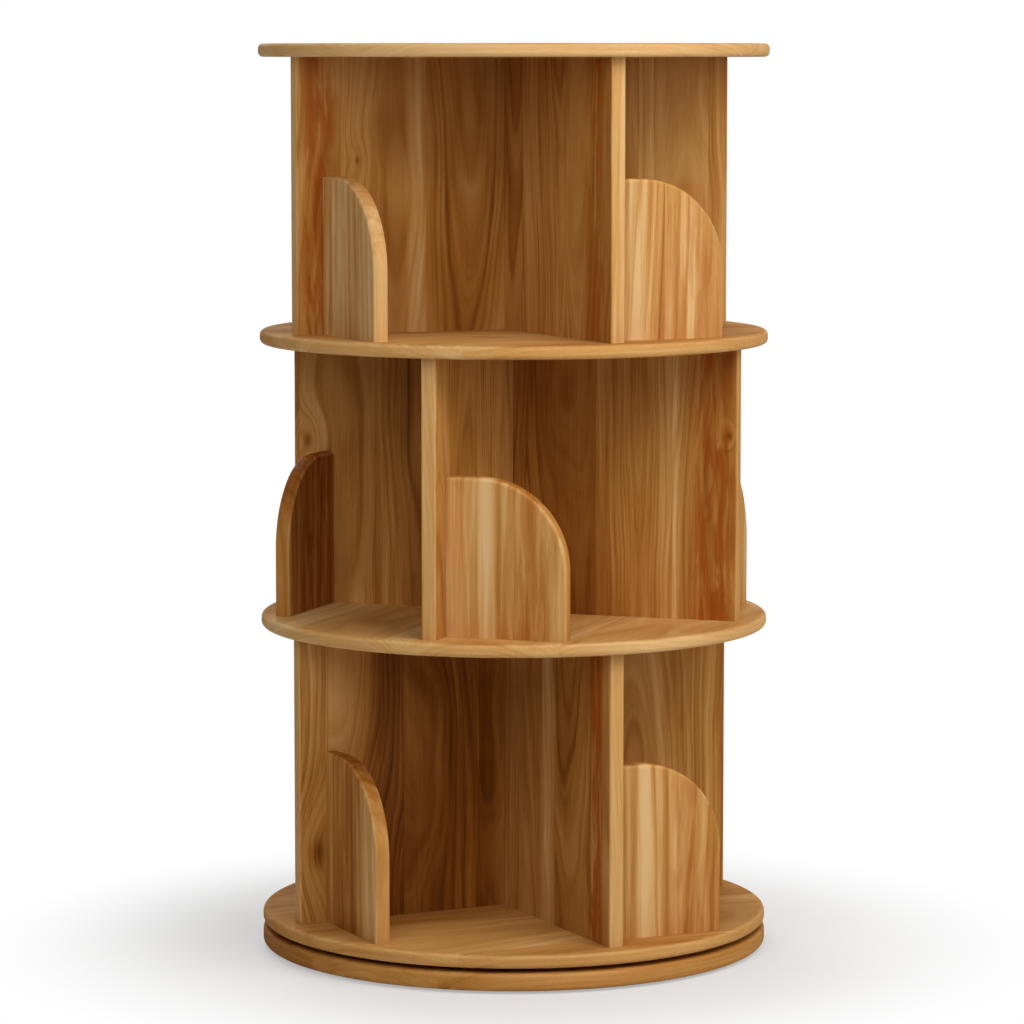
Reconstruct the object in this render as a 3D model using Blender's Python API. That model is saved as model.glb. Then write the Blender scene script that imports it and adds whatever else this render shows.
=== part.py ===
"""Three-tier revolving bookcase in solid wood.

A fixed base disc carries a ring bearing, and a carousel of four discs turns on it.
Between two discs stand four panels in a pinwheel, each with a rounded book stop on
its face. The middle tier is turned by half a panel step against the other two.
Metres, +Z up, with the origin on the floor under the turning axis.
"""

import math

import bmesh
import bpy
from mathutils import Matrix

# Discs
DISC_RADIUS = 0.230
DISC_THICKNESS = 0.012
BASE_THICKNESS = 0.016
EDGE_ROUND = 0.004
EDGE_STEPS = 2
DISC_SIDES = 64

# Tiers, from the floor up: clear height between discs, and turn about the axis
BOTTOM_CLEAR = 0.260
MIDDLE_CLEAR = 0.245
TOP_CLEAR = 0.245
MIDDLE_TURN = math.radians(45)
PANELS_PER_TIER = 4

# Panels
PANEL_THICKNESS = 0.014
PANEL_SETBACK = 0.016
PANEL_EDGE_ROUND = 0.002
CORE_WIDTH = 0.006

# Book stops
STOP_THICKNESS = 0.014
STOP_SETBACK = 0.025
STOP_WIDTH = 0.110
STOP_HEADROOM = 0.105
STOP_CORNER_RADIUS = 0.080
STOP_CORNER_STEPS = 9
STOP_EDGE_EASE = 0.0015

# Dowels, glued into the panels and stops and seated in blind holes
DOWEL_RADIUS = 0.004
STOP_DOWEL_RADIUS = 0.003
DOWEL_SKIN = 0.0045
DOWEL_INSET = 0.045
STOP_DOWEL_DEPTH = 0.007
STOP_DOWEL_HEIGHT = 0.070
DOWEL_SIDES = 8

# Panel screws, driven up through the disc under each panel
SCREW_RADIUS = 0.002
SCREW_GRIP = 0.034
SCREW_HEAD_RADIUS = 0.0042
SCREW_HEAD_HEIGHT = 0.003
SCREW_HEAD_SINK = 0.001
SCREW_INSET = 0.062
SCREW_SIDES = 6

# Ring bearing under the carousel
REVEAL_GAP = 0.004
BALL_PITCH_RADIUS = 0.100
BALL_RADIUS = 0.00225
BALL_COUNT = 10
RACE_GAP = 0.0024
RING_WIDTH = 0.024
RING_HEIGHT = 0.0066
RING_STEP = 0.0008
RING_SIDES = 48
RACE_STEPS = 4
CAGE_WALL = 0.0008
CAGE_HEIGHT = 0.0034
RECESS_MARGIN = 0.002

# Bearing screws, countersunk in the rings
RING_SCREWS = 4
RING_SCREW_RADIUS = 0.0016
RING_SCREW_GRIP = 0.007
RING_SCREW_HEAD_RADIUS = 0.0034
RING_SCREW_HEAD_HEIGHT = 0.0022
ACCESS_HOLE_RADIUS = 0.006

# Feet
FOOT_COUNT = 6
FOOT_RADIUS = 0.012
FOOT_HEIGHT = 0.002
FOOT_INSET = 0.030
FOOT_SIDES = 16

# Clearances
SEAT_GAP = 0.0003
HOLE_GAP = 0.0003
OVERSHOOT = 0.001

# Worked-out levels
FULL_TURN = 2 * math.pi
PANEL_STEP = FULL_TURN / PANELS_PER_TIER
BASE_BOTTOM = FOOT_HEIGHT
BASE_TOP = BASE_BOTTOM + BASE_THICKNESS
BEARING_STACK = RING_HEIGHT + RING_STEP + 2 * SEAT_GAP
CAROUSEL_BOTTOM = BASE_TOP + REVEAL_GAP
RECESS_FLOOR = CAROUSEL_BOTTOM - BEARING_STACK
INNER_RING_BOTTOM = RECESS_FLOOR + SEAT_GAP
OUTER_RING_BOTTOM = INNER_RING_BOTTOM + RING_STEP
BALL_LEVEL = (OUTER_RING_BOTTOM + INNER_RING_BOTTOM + RING_HEIGHT) / 2
BOTTOM_FLOOR = CAROUSEL_BOTTOM + DISC_THICKNESS
MIDDLE_FLOOR = BOTTOM_FLOOR + BOTTOM_CLEAR + DISC_THICKNESS
TOP_FLOOR = MIDDLE_FLOOR + MIDDLE_CLEAR + DISC_THICKNESS

# Worked-out places in a panel's own frame: X runs out along it, Y to its stop's side
PANEL_FACE = CORE_WIDTH / 2
PANEL_MIDDLE = PANEL_FACE - PANEL_THICKNESS / 2
PANEL_INNER_END = CORE_WIDTH / 2 + SEAT_GAP
PANEL_OUTER_END = DISC_RADIUS - PANEL_SETBACK
INNER_DOWEL_X = PANEL_INNER_END + DOWEL_INSET
OUTER_DOWEL_X = PANEL_OUTER_END - DOWEL_INSET
SCREW_X = PANEL_OUTER_END - SCREW_INSET
STOP_MIDDLE = PANEL_OUTER_END - STOP_SETBACK - STOP_THICKNESS / 2
STOP_NEAR_SIDE = PANEL_FACE + SEAT_GAP
STOP_DOWEL_Y = STOP_NEAR_SIDE + STOP_WIDTH / 2
DOWEL_DEPTH = DISC_THICKNESS - DOWEL_SKIN
INNER_RING_RIM = BALL_PITCH_RADIUS - RACE_GAP / 2
OUTER_RING_RIM = BALL_PITCH_RADIUS + RACE_GAP / 2
INNER_SCREW_CIRCLE = INNER_RING_RIM - RING_WIDTH / 2
OUTER_SCREW_CIRCLE = OUTER_RING_RIM + RING_WIDTH / 2


class Tier:
    """One storey: its name, floor level, clear height and turn about the axis."""

    def __init__(self, name, floor, clear, turn):
        self.name = name
        self.floor = floor
        self.clear = clear
        self.turns = [turn + step * PANEL_STEP for step in range(PANELS_PER_TIER)]


TIERS = [
    Tier("bottom", BOTTOM_FLOOR, BOTTOM_CLEAR, 0.0),
    Tier("middle", MIDDLE_FLOOR, MIDDLE_CLEAR, MIDDLE_TURN),
    Tier("top", TOP_FLOOR, TOP_CLEAR, 0.0),
]


def clear_scene():
    """Remove every object that the file opens with."""
    for item in list(bpy.data.objects):
        bpy.data.objects.remove(item, do_unlink=True)


def material(name, colour, roughness, metallic=0.0):
    """A plain surface with one colour."""
    made = bpy.data.materials.new(name)
    made.use_nodes = True
    shader = made.node_tree.nodes["Principled BSDF"]
    shader.inputs["Base Color"].default_value = (*colour, 1.0)
    shader.inputs["Roughness"].default_value = roughness
    shader.inputs["Metallic"].default_value = metallic
    return made


def finished_mesh(name, bm, surface):
    """Turn a working mesh into a finished one, smooth on its round faces."""
    bmesh.ops.recalc_face_normals(bm, faces=bm.faces)
    mesh = bpy.data.meshes.new(name)
    bm.to_mesh(mesh)
    bm.free()
    mesh.materials.append(surface)
    mesh.shade_smooth()
    mesh.set_sharp_from_angle(angle=math.radians(35))
    return mesh


def place(name, mesh, parent, turn=0.0):
    """Add a node that shows a mesh, turned about its parent's upright axis."""
    node = bpy.data.objects.new(name, mesh)
    node.parent = parent
    node.rotation_euler.z = turn
    bpy.context.scene.collection.objects.link(node)
    return node


def empty(name, parent=None, height=0.0):
    """Add an empty on the turning axis."""
    node = bpy.data.objects.new(name, None)
    node.parent = parent
    node.location.z = height
    bpy.context.scene.collection.objects.link(node)
    return node


def combined(mesh, tool, operation):
    """Cut a working mesh out of a finished mesh, or join it on."""
    bmesh.ops.recalc_face_normals(tool, faces=tool.faces)
    tool_mesh = bpy.data.meshes.new("tool")
    tool.to_mesh(tool_mesh)
    tool.free()
    body = place("body", mesh, None)
    cutter = place("cutter", tool_mesh, None)
    boolean = body.modifiers.new("combine", "BOOLEAN")
    boolean.operation = operation
    boolean.solver = "EXACT"
    boolean.object = cutter
    graph = bpy.context.evaluated_depsgraph_get()
    result = bpy.data.meshes.new_from_object(body.evaluated_get(graph))
    result.name = mesh.name
    bpy.data.objects.remove(body, do_unlink=True)
    bpy.data.objects.remove(cutter, do_unlink=True)
    bpy.data.meshes.remove(tool_mesh)
    bpy.data.meshes.remove(mesh)
    return result


def spun(profile, sides, ring):
    """Spin a profile about the axis; a ring's profile closes on itself."""
    bm = bmesh.new()
    points = [bm.verts.new((radius, 0.0, level)) for radius, level in profile]
    pairs = list(zip(points, points[1:]))
    if ring:
        pairs.append((points[-1], points[0]))
    edges = [bm.edges.new(pair) for pair in pairs]
    bmesh.ops.spin(
        bm, geom=points + edges, cent=(0, 0, 0), axis=(0, 0, 1),
        angle=FULL_TURN, steps=sides, use_merge=True,
    )
    bmesh.ops.remove_doubles(bm, verts=bm.verts, dist=1e-7)
    if not ring:
        bmesh.ops.holes_fill(bm, edges=[edge for edge in bm.edges if edge.is_boundary])
    return bm


def add_peg(bm, x, y, low, high, radius, sides, turn=0.0, top_radius=None):
    """Add an upright peg, straight or tapered, to a working mesh."""
    spot = Matrix.Rotation(turn, 4, "Z") @ Matrix.Translation((x, y, (low + high) / 2))
    bmesh.ops.create_cone(
        bm, cap_ends=True, segments=sides, radius1=radius,
        radius2=radius if top_radius is None else top_radius,
        depth=high - low, matrix=spot,
    )


def add_side_peg(bm, x, start, end, level, radius):
    """Add a level peg that runs along Y to a working mesh."""
    spot = Matrix.Translation((x, (start + end) / 2, level)) @ Matrix.Rotation(math.pi / 2, 4, "X")
    bmesh.ops.create_cone(
        bm, cap_ends=True, segments=DOWEL_SIDES, radius1=radius, radius2=radius,
        depth=end - start, matrix=spot,
    )


def rounded_disc(thickness):
    """A disc with both rims rounded over, standing on Z = 0."""
    fillet = min(EDGE_ROUND, thickness / 2 - SEAT_GAP)
    profile = []
    for centre, first in ((fillet, -math.pi / 2), (thickness - fillet, 0.0)):
        for step in range(EDGE_STEPS + 1):
            angle = first + step * math.pi / 2 / EDGE_STEPS
            radius = DISC_RADIUS - fillet + fillet * math.cos(angle)
            profile.append((radius, centre + fillet * math.sin(angle)))
    return spun(profile, DISC_SIDES, ring=False)


def cut_floor_holes(tool, tier):
    """Holes in a tier's floor disc for the panels and stops that stand on it."""
    top = DISC_THICKNESS
    for turn in tier.turns:
        add_peg(
            tool, INNER_DOWEL_X, PANEL_MIDDLE, DOWEL_SKIN, top + OVERSHOOT,
            DOWEL_RADIUS + HOLE_GAP, DOWEL_SIDES, turn,
        )
        add_peg(
            tool, STOP_MIDDLE, STOP_DOWEL_Y, DOWEL_SKIN, top + OVERSHOOT,
            STOP_DOWEL_RADIUS + HOLE_GAP, DOWEL_SIDES, turn,
        )
        add_peg(
            tool, SCREW_X, PANEL_MIDDLE, SCREW_HEAD_SINK, top + OVERSHOOT,
            SCREW_RADIUS + HOLE_GAP, SCREW_SIDES, turn,
        )


def cut_counterbores(tool, tier):
    """Sinks for the panel screws' heads in the underside of a tier's floor disc."""
    head_room = SCREW_HEAD_SINK + SCREW_HEAD_HEIGHT + SEAT_GAP
    for turn in tier.turns:
        add_peg(
            tool, SCREW_X, PANEL_MIDDLE, -OVERSHOOT, head_room,
            SCREW_HEAD_RADIUS + HOLE_GAP, DOWEL_SIDES, turn,
        )


def cut_ceiling_holes(tool, tier):
    """Blind holes in the underside of the disc that closes a tier."""
    for turn in tier.turns:
        for x in (INNER_DOWEL_X, OUTER_DOWEL_X):
            add_peg(
                tool, x, PANEL_MIDDLE, -OVERSHOOT, DOWEL_DEPTH,
                DOWEL_RADIUS + HOLE_GAP, DOWEL_SIDES, turn,
            )


def ring_screw_turns():
    """The bearing screws' places round the axis, half a step off the X axis."""
    return [(index + 0.5) * FULL_TURN / RING_SCREWS for index in range(RING_SCREWS)]


def disc_mesh(name, surface, floor_of=None, ceiling_of=None, on_bearing=False):
    """A carousel disc with the holes that its tiers and the bearing ask for."""
    mesh = finished_mesh(name, rounded_disc(DISC_THICKNESS), surface)
    holes = bmesh.new()
    if floor_of:
        cut_floor_holes(holes, floor_of)
    if ceiling_of:
        cut_ceiling_holes(holes, ceiling_of)
    if on_bearing:
        for turn in ring_screw_turns():
            add_peg(
                holes, OUTER_SCREW_CIRCLE, 0.0, -OVERSHOOT, RING_SCREW_GRIP + HOLE_GAP,
                RING_SCREW_RADIUS + HOLE_GAP, SCREW_SIDES, turn,
            )
    mesh = combined(mesh, holes, "DIFFERENCE")
    if floor_of:
        sinks = bmesh.new()
        cut_counterbores(sinks, floor_of)
        mesh = combined(mesh, sinks, "DIFFERENCE")
    return mesh


def base_mesh(surface):
    """The fixed base disc with its bearing recess, screw holes and access hole."""
    mesh = finished_mesh("base_disc", rounded_disc(BASE_THICKNESS), surface)
    recess = bmesh.new()
    floor = RECESS_FLOOR - BASE_BOTTOM
    rim = OUTER_RING_RIM + RING_WIDTH + RECESS_MARGIN
    add_peg(recess, 0.0, 0.0, floor, BASE_THICKNESS + OVERSHOOT, rim, RING_SIDES)
    mesh = combined(mesh, recess, "DIFFERENCE")
    holes = bmesh.new()
    for turn in ring_screw_turns():
        add_peg(
            holes, INNER_SCREW_CIRCLE, 0.0, floor - RING_SCREW_GRIP - HOLE_GAP, floor + OVERSHOOT,
            RING_SCREW_RADIUS + HOLE_GAP, SCREW_SIDES, turn,
        )
    add_peg(
        holes, OUTER_SCREW_CIRCLE, 0.0, -OVERSHOOT, floor + OVERSHOOT,
        ACCESS_HOLE_RADIUS, DOWEL_SIDES, ring_screw_turns()[0],
    )
    return combined(mesh, holes, "DIFFERENCE")


def panel_mesh(clear, surface):
    """A panel with eased outer edges, its dowels, and holes for its screw and stop."""
    height = clear - 2 * SEAT_GAP
    back = PANEL_FACE - PANEL_THICKNESS
    bm = bmesh.new()
    corners = [
        (PANEL_INNER_END, back), (PANEL_OUTER_END, back),
        (PANEL_OUTER_END, PANEL_FACE), (PANEL_INNER_END, PANEL_FACE),
    ]
    bm.faces.new([bm.verts.new((x, y, SEAT_GAP)) for x, y in corners])
    outer = [vert for vert in bm.verts if vert.co.x == max(v.co.x for v in bm.verts)]
    bmesh.ops.bevel(
        bm, geom=outer, affect="VERTICES", offset=PANEL_EDGE_ROUND, offset_type="OFFSET",
        segments=2, profile=0.5,
    )
    lifted = bmesh.ops.extrude_face_region(bm, geom=bm.faces[:], use_keep_orig=True)
    top = [item for item in lifted["geom"] if isinstance(item, bmesh.types.BMVert)]
    bmesh.ops.translate(bm, verts=top, vec=(0.0, 0.0, height))
    mesh = finished_mesh("panel", bm, surface)

    dowels = bmesh.new()
    middle = clear / 2
    add_peg(
        dowels, INNER_DOWEL_X, PANEL_MIDDLE, HOLE_GAP - DOWEL_DEPTH, middle,
        DOWEL_RADIUS, DOWEL_SIDES,
    )
    mesh = combined(mesh, dowels, "UNION")
    dowels = bmesh.new()
    for x in (INNER_DOWEL_X, OUTER_DOWEL_X):
        add_peg(
            dowels, x, PANEL_MIDDLE, middle + OVERSHOOT, clear + DOWEL_DEPTH - HOLE_GAP,
            DOWEL_RADIUS, DOWEL_SIDES,
        )
    mesh = combined(mesh, dowels, "UNION")

    holes = bmesh.new()
    add_peg(
        holes, SCREW_X, PANEL_MIDDLE, -OVERSHOOT, SCREW_GRIP + HOLE_GAP,
        SCREW_RADIUS + HOLE_GAP, SCREW_SIDES,
    )
    add_side_peg(
        holes, STOP_MIDDLE, PANEL_FACE - STOP_DOWEL_DEPTH, PANEL_FACE + OVERSHOOT,
        STOP_DOWEL_HEIGHT, STOP_DOWEL_RADIUS + HOLE_GAP,
    )
    return combined(mesh, holes, "DIFFERENCE")


def stop_outline(height):
    """The stop's face: square against panel and floor, with one wide round corner."""
    corner = min(STOP_CORNER_RADIUS, STOP_WIDTH, height)
    far_side = STOP_NEAR_SIDE + STOP_WIDTH
    points = [(STOP_NEAR_SIDE, 0.0), (far_side, 0.0)]
    for step in range(STOP_CORNER_STEPS + 1):
        angle = step * math.pi / 2 / STOP_CORNER_STEPS
        across = far_side - corner + corner * math.cos(angle)
        points.append((across, height - corner + corner * math.sin(angle)))
    points.append((STOP_NEAR_SIDE, height))
    return points


def stop_mesh(clear, surface):
    """A book stop with eased free edges and its two dowels."""
    height = clear - STOP_HEADROOM
    back = STOP_MIDDLE - STOP_THICKNESS / 2
    bm = bmesh.new()
    face = bm.faces.new(
        [bm.verts.new((back, y, SEAT_GAP + z)) for y, z in stop_outline(height)]
    )
    lifted = bmesh.ops.extrude_face_region(bm, geom=[face], use_keep_orig=True)
    front = [item for item in lifted["geom"] if isinstance(item, bmesh.types.BMVert)]
    bmesh.ops.translate(bm, verts=front, vec=(STOP_THICKNESS, 0.0, 0.0))
    low = SEAT_GAP + 1e-6
    near = STOP_NEAR_SIDE + 1e-6
    eased = []
    for edge in bm.edges:
        one, two = (vert.co for vert in edge.verts)
        along_face = abs(one.x - two.x) < 1e-6
        on_floor = one.z < low and two.z < low
        on_panel = one.y < near and two.y < near
        if along_face and not on_floor and not on_panel:
            eased.append(edge)
    bmesh.ops.bevel(
        bm, geom=eased, affect="EDGES", offset=STOP_EDGE_EASE, offset_type="OFFSET", segments=1,
    )
    mesh = finished_mesh("book_stop", bm, surface)

    dowels = bmesh.new()
    add_peg(
        dowels, STOP_MIDDLE, STOP_DOWEL_Y, HOLE_GAP - DOWEL_DEPTH, STOP_DOWEL_HEIGHT / 2,
        STOP_DOWEL_RADIUS, DOWEL_SIDES,
    )
    add_side_peg(
        dowels, STOP_MIDDLE, PANEL_FACE - STOP_DOWEL_DEPTH + HOLE_GAP,
        STOP_NEAR_SIDE + STOP_WIDTH / 4, STOP_DOWEL_HEIGHT, STOP_DOWEL_RADIUS,
    )
    return combined(mesh, dowels, "UNION")


def panel_screw_mesh(surface):
    """A panel screw, head down, in its tier's frame."""
    bm = bmesh.new()
    head_low = SCREW_HEAD_SINK - DISC_THICKNESS
    head_high = head_low + SCREW_HEAD_HEIGHT
    middle = PANEL_MIDDLE
    add_peg(bm, SCREW_X, middle, head_low, head_high, SCREW_HEAD_RADIUS, DOWEL_SIDES)
    mesh = finished_mesh("panel_screw", bm, surface)
    shank = bmesh.new()
    add_peg(
        shank, SCREW_X, middle, head_high - SCREW_HEAD_HEIGHT / 2, SCREW_GRIP,
        SCREW_RADIUS, SCREW_SIDES,
    )
    return combined(mesh, shank, "UNION")


def race_profile(rim, bottom, outward):
    """A ring's section, with the ball's half-round race in its rim."""
    race_radius = BALL_RADIUS + HOLE_GAP
    half_gap = RACE_GAP / 2
    half_angle = math.acos(half_gap / race_radius)
    top = bottom + RING_HEIGHT
    side = 1.0 if outward else -1.0
    back = rim + side * RING_WIDTH
    section = [(back, bottom), (back, top), (rim, top)]
    for step in range(RACE_STEPS + 1):
        angle = half_angle - 2 * half_angle * step / RACE_STEPS
        radius = BALL_PITCH_RADIUS + side * race_radius * math.cos(angle)
        section.append((radius, BALL_LEVEL + race_radius * math.sin(angle)))
    section.append((rim, bottom))
    return section


def ring_mesh(name, rim, bottom, outward, surface):
    """A bearing ring with countersunk screw holes on its free face."""
    mesh = finished_mesh(name, spun(race_profile(rim, bottom, outward), RING_SIDES, ring=True), surface)
    circle = OUTER_SCREW_CIRCLE if outward else INNER_SCREW_CIRCLE
    shank = RING_SCREW_RADIUS + HOLE_GAP
    head = RING_SCREW_HEAD_RADIUS + HOLE_GAP
    top = bottom + RING_HEIGHT
    bores = bmesh.new()
    sinks = bmesh.new()
    for turn in ring_screw_turns():
        add_peg(bores, circle, 0.0, bottom - OVERSHOOT, top + OVERSHOOT, shank, SCREW_SIDES, turn)
        if outward:
            low, high = bottom, bottom + RING_SCREW_HEAD_HEIGHT + HOLE_GAP
            add_peg(sinks, circle, 0.0, low - HOLE_GAP, high, head, SCREW_SIDES, turn, shank)
        else:
            low, high = top - RING_SCREW_HEAD_HEIGHT - HOLE_GAP, top
            add_peg(sinks, circle, 0.0, low, high + HOLE_GAP, shank, SCREW_SIDES, turn, head)
    mesh = combined(mesh, bores, "DIFFERENCE")
    return combined(mesh, sinks, "DIFFERENCE")


def ring_screw_mesh(circle, head_level, direction, surface):
    """A countersunk bearing screw; direction is the way it is driven, up or down."""
    neck = head_level + direction * RING_SCREW_HEAD_HEIGHT
    tip = head_level + direction * (RING_HEIGHT + SEAT_GAP + RING_SCREW_GRIP)
    stem_start = (head_level + neck) / 2
    head, shank = RING_SCREW_HEAD_RADIUS, RING_SCREW_RADIUS
    low_radius, high_radius = (head, shank) if direction > 0 else (shank, head)
    bm = bmesh.new()
    low, high = sorted((head_level, neck))
    add_peg(bm, circle, 0.0, low, high, low_radius, SCREW_SIDES, 0.0, high_radius)
    mesh = finished_mesh("ring_screw", bm, surface)
    stem = bmesh.new()
    low, high = sorted((stem_start, tip))
    add_peg(stem, circle, 0.0, low, high, shank, SCREW_SIDES)
    return combined(mesh, stem, "UNION")


def cage_mesh(surface):
    """The ball cage: a thin band with the balls held in it."""
    inner = BALL_PITCH_RADIUS - CAGE_WALL / 2
    outer = BALL_PITCH_RADIUS + CAGE_WALL / 2
    low = BALL_LEVEL - CAGE_HEIGHT / 2
    high = BALL_LEVEL + CAGE_HEIGHT / 2
    band = [(inner, low), (inner, high), (outer, high), (outer, low)]
    mesh = finished_mesh("ball_cage", spun(band, RING_SIDES, ring=True), surface)
    balls = bmesh.new()
    for index in range(BALL_COUNT):
        turn = Matrix.Rotation(index * FULL_TURN / BALL_COUNT, 4, "Z")
        spot = turn @ Matrix.Translation((BALL_PITCH_RADIUS, 0.0, BALL_LEVEL))
        bmesh.ops.create_uvsphere(balls, u_segments=8, v_segments=6, radius=BALL_RADIUS, matrix=spot)
    return combined(mesh, balls, "UNION")


def foot_mesh(surface):
    """A round rubber pad that tapers a little to the floor."""
    bm = bmesh.new()
    add_peg(
        bm, DISC_RADIUS - FOOT_INSET, 0.0, 0.0, FOOT_HEIGHT - SEAT_GAP,
        FOOT_RADIUS - FOOT_HEIGHT / 2, FOOT_SIDES, 0.0, FOOT_RADIUS,
    )
    return finished_mesh("foot", bm, surface)


def build_base(wood, metal, rubber):
    """Everything that stays still: base disc, feet, inner bearing ring and its screws."""
    base = empty("fixed_base")
    disc = place("base_disc", base_mesh(wood), base)
    disc.location.z = BASE_BOTTOM
    foot = foot_mesh(rubber)
    for index in range(FOOT_COUNT):
        place(f"foot_{index + 1}", foot, base, (index + 0.5) * FULL_TURN / FOOT_COUNT)
    ring = ring_mesh("bearing_inner_ring", INNER_RING_RIM, INNER_RING_BOTTOM, False, metal)
    place("bearing_inner_ring", ring, base)
    head_level = INNER_RING_BOTTOM + RING_HEIGHT
    screw = ring_screw_mesh(INNER_SCREW_CIRCLE, head_level, -1, metal)
    for index, turn in enumerate(ring_screw_turns()):
        place(f"inner_ring_screw_{index + 1}", screw, base, turn)


def build_turning_bearing(carousel, metal):
    """The bearing ring and screws that turn with the carousel."""
    ring = ring_mesh("bearing_outer_ring", OUTER_RING_RIM, OUTER_RING_BOTTOM, True, metal)
    place("bearing_outer_ring", ring, carousel)
    screw = ring_screw_mesh(OUTER_SCREW_CIRCLE, OUTER_RING_BOTTOM, 1, metal)
    for index, turn in enumerate(ring_screw_turns()):
        place(f"outer_ring_screw_{index + 1}", screw, carousel, turn)


def build_tier(tier, carousel, wood, steel):
    """The four panels, book stops and panel screws of one tier."""
    floor = empty(f"{tier.name}_tier", carousel, tier.floor)
    panel = panel_mesh(tier.clear, wood)
    stop = stop_mesh(tier.clear, wood)
    screw = panel_screw_mesh(steel)
    for index, turn in enumerate(tier.turns):
        place(f"{tier.name}_panel_{index + 1}", panel, floor, turn)
        place(f"{tier.name}_book_stop_{index + 1}", stop, floor, turn)
        place(f"{tier.name}_panel_screw_{index + 1}", screw, floor, turn)


def build_discs(carousel, wood):
    """The four discs that turn."""
    bottom, middle, top = TIERS
    discs = [
        ("bottom_tier_floor", bottom.floor - DISC_THICKNESS, bottom, None),
        ("middle_tier_floor", middle.floor - DISC_THICKNESS, middle, bottom),
        ("top_tier_floor", top.floor - DISC_THICKNESS, top, middle),
        ("top_disc", top.floor + top.clear, None, top),
    ]
    for name, level, floor_of, ceiling_of in discs:
        mesh = disc_mesh(name, wood, floor_of, ceiling_of, on_bearing=floor_of is bottom)
        disc = place(name, mesh, carousel)
        disc.location.z = level


def main():
    clear_scene()
    wood = material("honey_wood", (0.52, 0.27, 0.095), 0.42)
    metal = material("bearing_aluminium", (0.62, 0.63, 0.64), 0.35, 1.0)
    steel = material("screw_steel", (0.45, 0.43, 0.40), 0.38, 1.0)
    rubber = material("foot_rubber", (0.03, 0.03, 0.03), 0.8)

    build_base(wood, metal, rubber)
    cage_axis = empty("ball_cage_axis")
    place("ball_cage", cage_mesh(steel), cage_axis)
    carousel = empty("carousel")
    build_turning_bearing(carousel, metal)
    build_discs(carousel, wood)
    for tier in TIERS:
        build_tier(tier, carousel, wood, steel)


main()
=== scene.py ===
"""Looks of the revolving bookcase: solid-wood discs, panels and book stops, and its bearing.

Each CAD node gives way to a finer piece on the same body. Lengths are in metres.
"""

import math

import bmesh
import bpy
from mathutils import Euler, Matrix, Vector


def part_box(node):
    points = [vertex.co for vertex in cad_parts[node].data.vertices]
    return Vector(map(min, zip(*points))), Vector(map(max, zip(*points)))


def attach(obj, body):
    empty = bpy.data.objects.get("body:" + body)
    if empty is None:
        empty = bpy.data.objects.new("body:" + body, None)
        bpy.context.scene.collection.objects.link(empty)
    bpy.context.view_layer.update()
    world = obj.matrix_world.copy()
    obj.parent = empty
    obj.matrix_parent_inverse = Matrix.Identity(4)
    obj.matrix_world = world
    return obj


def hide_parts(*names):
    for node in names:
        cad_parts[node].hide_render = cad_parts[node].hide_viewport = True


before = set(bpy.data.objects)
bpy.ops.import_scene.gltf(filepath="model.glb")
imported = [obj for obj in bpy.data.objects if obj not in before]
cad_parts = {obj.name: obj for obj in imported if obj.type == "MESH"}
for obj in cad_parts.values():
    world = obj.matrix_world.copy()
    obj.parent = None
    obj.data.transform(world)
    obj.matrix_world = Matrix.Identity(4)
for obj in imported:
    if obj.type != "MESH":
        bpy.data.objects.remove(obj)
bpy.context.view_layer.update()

QUARTER = math.pi / 2
FULL_TURN = 2 * math.pi
WHITE = (1.0, 1.0, 1.0)

# Camera, where the photograph was taken from; its lens is in millimetres
CAMERA_AZIMUTH = math.radians(-25.91)
CAMERA_DISTANCE = 3.808
CAMERA_HEIGHT = 0.8133
CAMERA_PITCH = math.radians(6.258)
CAMERA_YAW = math.radians(0.025)
CAMERA_LENS = 147.84

# Tiers, from the floor up: name, floor disc, ceiling disc, turn about the axis
TIERS = [
    ("bottom", "bottom_tier_floor", "middle_tier_floor", 0.0),
    ("middle", "middle_tier_floor", "top_tier_floor", math.radians(45)),
    ("top", "top_tier_floor", "top_disc", 0.0),
]
# Panels in a tier, and the turn from one to the next
PANELS = 4
PANEL_TURN = FULL_TURN / PANELS
# Discs and the way their staves run
DISCS = {
    "base_disc": math.radians(10),
    "bottom_tier_floor": 0.0,
    "middle_tier_floor": math.radians(45),
    "top_tier_floor": 0.0,
    "top_disc": math.radians(-12),
}

# Sides of round forms and steps of their arcs, finer than the solids have
DISC_SIDES = 192
RECESS_SIDES = 128
SINK_SIDES = 32
SCREW_SIDES = 24
RING_SIDES = 160
BALL_SIDES = 24
BALL_BANDS = 16
FOOT_SIDES = 48
RIM_STEPS = 8
EDGE_STEPS = 5
CORNER_STEPS = 36
RACE_STEPS = 12
FOOT_STEPS = 4

# Rounds of the wooden pieces; a bevel's profile of a half is round
RIM_ROUND = 0.0045
PANEL_ROUND = 0.002
STOP_ROUND = 0.0036
STOP_CORNER = 0.080
ROUND_PROFILE = 0.5

# Fine limits: room where a board meets another, how far a cutter stands out of what it
# cuts, the shortest edge that a cut leaves, and what counts as one point or one place
CONTACT = 0.0001
OVERSHOOT = 0.001
SLIVER = 4e-6
SAME_POINT = 1e-7
SAME_PLACE = 1e-6

# Faces over this area, in square metres, are shaded flat, and sharper edges stay sharp
FLAT_AREA = 2.5e-4
SHARP_ANGLE = math.radians(40)

# Sinks for screw heads, the base's recess for the bearing and its access hole
SINK_RADIUS = 0.0045
SINK_DEPTH = 0.0043
SINK_EASE = 0.0004
RECESS_MARGIN = 0.002
RECESS_CLEARANCE = 0.0003
ACCESS_RADIUS = 0.006

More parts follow.
